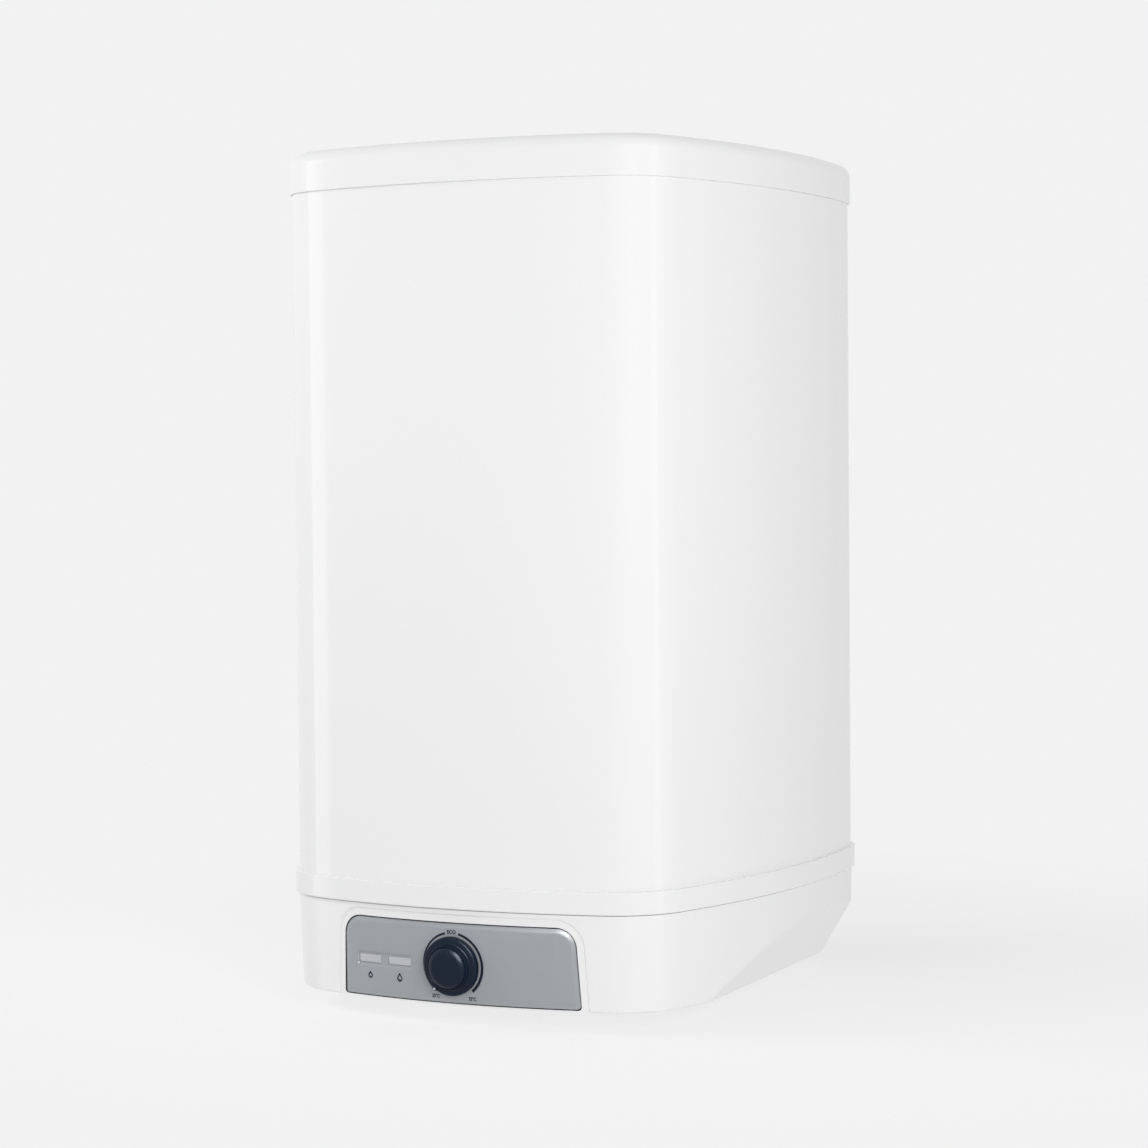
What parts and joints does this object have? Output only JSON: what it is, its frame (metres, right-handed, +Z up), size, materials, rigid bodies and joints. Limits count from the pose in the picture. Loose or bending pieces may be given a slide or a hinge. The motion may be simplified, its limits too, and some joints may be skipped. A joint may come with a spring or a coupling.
{
  "type": "electric water heater",
  "caption": "Wall-hung electric storage water heater: tall rounded white body with a shallow cap, grey panel with a dial and indicator windows in the lower cover, and pipe stubs below.",
  "frame": {"origin": "the centre of the wall bracket's back face, on the wall", "axes": "+Z up, +Y into the wall, the control panel towards -Y, the hot outlet towards -X"},
  "size_m": [0.4676, 0.4805, 0.782],
  "materials": {
    "white_enamel": "smooth gloss white powder enamel on sheet steel",
    "white_plastic": "smooth satin white moulded plastic",
    "grey_panel": "fine satin cool grey plastic",
    "dark_blue_plastic": "satin blue-black plastic",
    "clear_lens": "pale translucent plastic",
    "tank_enamel": "dark blue glass enamel on steel",
    "foam": "rigid cream foam",
    "plain_steel": "plain pressed steel",
    "zinc_steel": "zinc-plated steel",
    "copper": "drawn copper",
    "brass": "turned brass",
    "magnesium": "cast magnesium alloy",
    "black_rubber": "black rubber",
    "black_plastic": "black moulded plastic",
    "cream_plastic": "cream heat-resistant plastic",
    "grey_plastic": "grey moulded plastic",
    "red_plastic": "red moulded plastic",
    "blue_plastic": "blue moulded plastic",
    "board_green": "green circuit board",
    "brown_wire": "brown wire insulation",
    "blue_wire": "blue wire insulation",
    "earth_wire": "green and yellow wire insulation"
  },
  "bodies": {
    "root": {"outer_casing": "white_enamel", "top_cap": "white_plastic", "base_tray": "white_plastic", "lower_cover": "white_plastic", "control_panel": "grey_panel", "power_lens": "clear_lens", "heating_lens": "clear_lens", "indicator_board": "board_green", "power_lamp": "clear_lens", "heating_lamp": "clear_lens", "thermostat_bracket": "zinc_steel", "thermostat_body": "cream_plastic", "left_thermostat_screw": "zinc_steel", "right_thermostat_screw": "zinc_steel", "inner_tank": "tank_enamel", "insulation_foam": "foam", "flange_ring": "plain_steel", "flange_gasket": "black_rubber", "flange_plate": "zinc_steel", "flange_bolt_1": "zinc_steel", "flange_bolt_2": "zinc_steel", "flange_bolt_3": "zinc_steel", "flange_bolt_4": "zinc_steel", "flange_bolt_5": "zinc_steel", "heating_element": "copper", "thermostat_pocket": "copper", "sensor_bulb": "copper", "capillary_tube": "copper", "anode_rod": "magnesium", "anode_bolt": "zinc_steel", "safety_cutout": "black_plastic", "earth_screw": "brass", "terminal_block": "black_plastic", "hot_outlet_pipe": "zinc_steel", "cold_inlet_pipe": "zinc_steel", "hot_riser_tube": "zinc_steel", "inlet_diffuser": "grey_plastic", "hot_collar": "red_plastic", "cold_collar": "blue_plastic", "cable_gland": "black_plastic", "gland_locknut": "black_plastic", "left_cover_screw": "zinc_steel", "right_cover_screw": "zinc_steel", "wall_bracket": "zinc_steel", "left_bracket_bolt": "zinc_steel", "right_bracket_bolt": "zinc_steel", "left_bracket_channel": "plain_steel", "right_bracket_channel": "plain_steel", "lower_spacer": "grey_plastic", "live_wire": "brown_wire", "heater_wire": "brown_wire", "neutral_wire": "blue_wire", "cutout_wire": "blue_wire", "earth_wire": "earth_wire", "lamp_lead": "black_rubber"},
    "knob": {"temperature_knob": "dark_blue_plastic", "thermostat_shaft": "zinc_steel"},
    "reset": {"reset_button": "red_plastic"}
  },
  "joints": [
    {"name": "knob_turn", "type": "hinge", "parent": "root", "child": "knob", "pos_m": [0, -0.46495, -0.5433], "axis": [0, 0.9982, 0.0599], "range_deg": [0, 280]},
    {"name": "reset_press", "type": "slide", "parent": "root", "child": "reset", "axis": [0, 0, 1], "range_m": [0, 0.002], "stiffness_N_per_m": 400}
  ]
}
